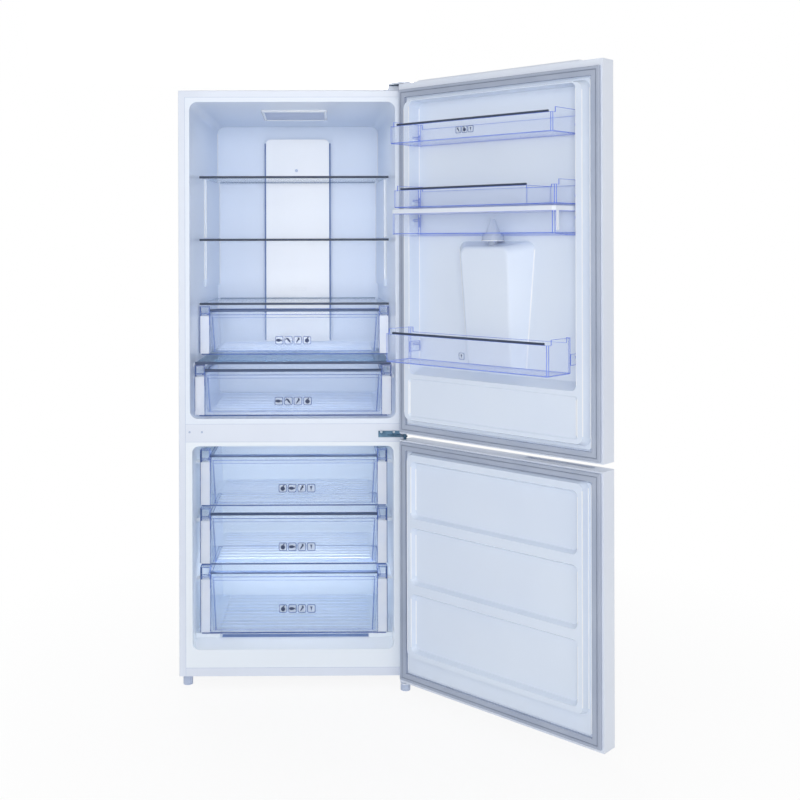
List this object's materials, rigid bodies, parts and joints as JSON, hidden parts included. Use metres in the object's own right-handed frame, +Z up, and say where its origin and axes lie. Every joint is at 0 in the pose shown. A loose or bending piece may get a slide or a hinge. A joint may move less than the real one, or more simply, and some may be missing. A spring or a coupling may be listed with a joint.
{
  "type": "bottom freezer refrigerator",
  "caption": "Tall white refrigerator with a freezer below, both doors open: glass shelves, clear drawers, door bins and a water tank with a dispenser in the door.",
  "frame": {"origin": "on the floor, under the door hinge axis: the middle of the front right foot's sole", "axes": "+Z up; the doors face -Y when shut; +X to the right seen from the front"},
  "size_m": [1.2167, 1.2098, 1.8508],
  "materials": {
    "white_steel": "gloss",
    "dark_steel": "satin",
    "plain_steel": "satin",
    "foam": "matte",
    "liner": "gloss",
    "white_plastic": "satin",
    "grey_plastic": "satin",
    "clear_plastic": "gloss",
    "trim": "gloss",
    "glass": "clear",
    "gasket": "matte",
    "black_plastic": "matte"
  },
  "bodies": {
    "cabinet": {"cabinet_shell": "white_steel", "back_panel": "white_steel", "base_tray": "white_steel", "cabinet_foam": "foam", "fridge_liner": "liner", "freezer_liner": "liner", "mullion_cover": "white_steel", "machine_cover": "white_steel", "compressor": "dark_steel", "air_duct_panel": "liner", "ceiling_lamp": "white_plastic", "crisper_shelf_glass": "glass", "crisper_shelf_frame": "trim", "top_hinge": "plain_steel", "middle_hinge": "plain_steel", "bottom_hinge": "plain_steel", "hinge_cover": "white_plastic", "foot_left": "grey_plastic", "foot_right": "grey_plastic"},
    "upper_door": {"upper_door_skin": "white_steel", "upper_door_foam": "foam", "upper_door_liner": "liner", "upper_door_gasket": "gasket", "upper_door_top_cap": "white_plastic", "upper_door_bottom_cap": "white_plastic", "dispenser_housing": "grey_plastic", "water_tank": "clear_plastic", "tank_lid": "white_plastic", "tank_valve": "white_plastic"},
    "lower_door": {"lower_door_skin": "white_steel", "lower_door_foam": "foam", "lower_door_liner": "liner", "lower_door_gasket": "gasket", "lower_door_top_cap": "white_plastic", "lower_door_bottom_cap": "white_plastic"},
    "dispenser_lever_body": {"dispenser_lever": "black_plastic"},
    "roller_left_body": {"roller_left": "black_plastic"},
    "roller_right_body": {"roller_right": "black_plastic"},
    "shelf_top": {"shelf_top_glass": "glass", "shelf_top_trim": "trim"},
    "shelf_middle": {"shelf_middle_glass": "glass", "shelf_middle_trim": "trim"},
    "shelf_lower": {"shelf_lower_glass": "glass", "shelf_lower_trim": "trim"},
    "upper_crisper_drawer": {"upper_crisper": "clear_plastic", "upper_crisper_trim": "trim"},
    "lower_crisper_drawer": {"lower_crisper": "clear_plastic", "lower_crisper_trim": "trim"},
    "freezer_top": {"freezer_drawer_top": "clear_plastic", "freezer_trim_top": "trim"},
    "freezer_middle": {"freezer_drawer_middle": "clear_plastic", "freezer_trim_middle": "trim"},
    "freezer_bottom": {"freezer_drawer_bottom": "clear_plastic", "freezer_trim_bottom": "trim"},
    "door_bin_top": {"bin_top": "clear_plastic", "bin_top_trim": "trim"},
    "door_bin_middle": {"bin_middle": "clear_plastic", "bin_middle_trim": "trim"},
    "door_bin_bottom": {"bin_bottom": "clear_plastic", "bin_bottom_trim": "trim"}
  },
  "joints": [
    {"name": "upper_door_hinge", "type": "hinge", "parent": "cabinet", "child": "upper_door", "pos_m": [0, 0, 1.3], "axis": [0, 0, 1], "range_deg": [-135.94, 4]},
    {"name": "lower_door_hinge", "type": "hinge", "parent": "cabinet", "child": "lower_door", "pos_m": [0, 0, 0.4], "axis": [0, 0, 1], "range_deg": [-135.94, 4]},
    {"name": "shelf_top_slide", "type": "slide", "parent": "cabinet", "child": "shelf_top", "axis": [0, -1, 0], "range_m": [0, 0.15]},
    {"name": "shelf_middle_slide", "type": "slide", "parent": "cabinet", "child": "shelf_middle", "axis": [0, -1, 0], "range_m": [0, 0.15]},
    {"name": "shelf_lower_slide", "type": "slide", "parent": "cabinet", "child": "shelf_lower", "axis": [0, -1, 0], "range_m": [0, 0.15]},
    {"name": "upper_crisper_slide", "type": "slide", "parent": "cabinet", "child": "upper_crisper_drawer", "axis": [0, -1, 0], "range_m": [0, 0.285]},
    {"name": "lower_crisper_slide", "type": "slide", "parent": "cabinet", "child": "lower_crisper_drawer", "axis": [0, -1, 0], "range_m": [0, 0.33]},
    {"name": "freezer_top_slide", "type": "slide", "parent": "cabinet", "child": "freezer_top", "axis": [0, -1, 0], "range_m": [0, 0.29]},
    {"name": "freezer_middle_slide", "type": "slide", "parent": "cabinet", "child": "freezer_middle", "axis": [0, -1, 0], "range_m": [0, 0.29]},
    {"name": "freezer_bottom_slide", "type": "slide", "parent": "cabinet", "child": "freezer_bottom", "axis": [0, -1, 0], "range_m": [0, 0.29]},
    {"name": "door_bin_top_lift", "type": "slide", "parent": "upper_door", "child": "door_bin_top", "axis": [0, 0, 1], "range_m": [0, 0.03]},
    {"name": "door_bin_middle_lift", "type": "slide", "parent": "upper_door", "child": "door_bin_middle", "axis": [0, 0, 1], "range_m": [0, 0.03]},
    {"name": "door_bin_bottom_lift", "type": "slide", "parent": "upper_door", "child": "door_bin_bottom", "axis": [0, 0, 1], "range_m": [0, 0.03]},
    {"name": "dispenser_lever_push", "type": "hinge", "parent": "upper_door", "child": "dispenser_lever_body", "pos_m": [0.23672, -0.24717, 1.296], "axis": [-0.7186, 0.6954, 0], "range_deg": [0, 10], "stiffness_Nm_per_rad": 0.4},
    {"name": "roller_left_spin", "type": "hinge", "parent": "cabinet", "child": "roller_left_body", "pos_m": [-0.642, 0.625, 0.018], "axis": [1, 0, 0], "continuous": true},
    {"name": "roller_right_spin", "type": "hinge", "parent": "cabinet", "child": "roller_right_body", "pos_m": [-0.042, 0.625, 0.018], "axis": [1, 0, 0], "continuous": true}
  ]
}
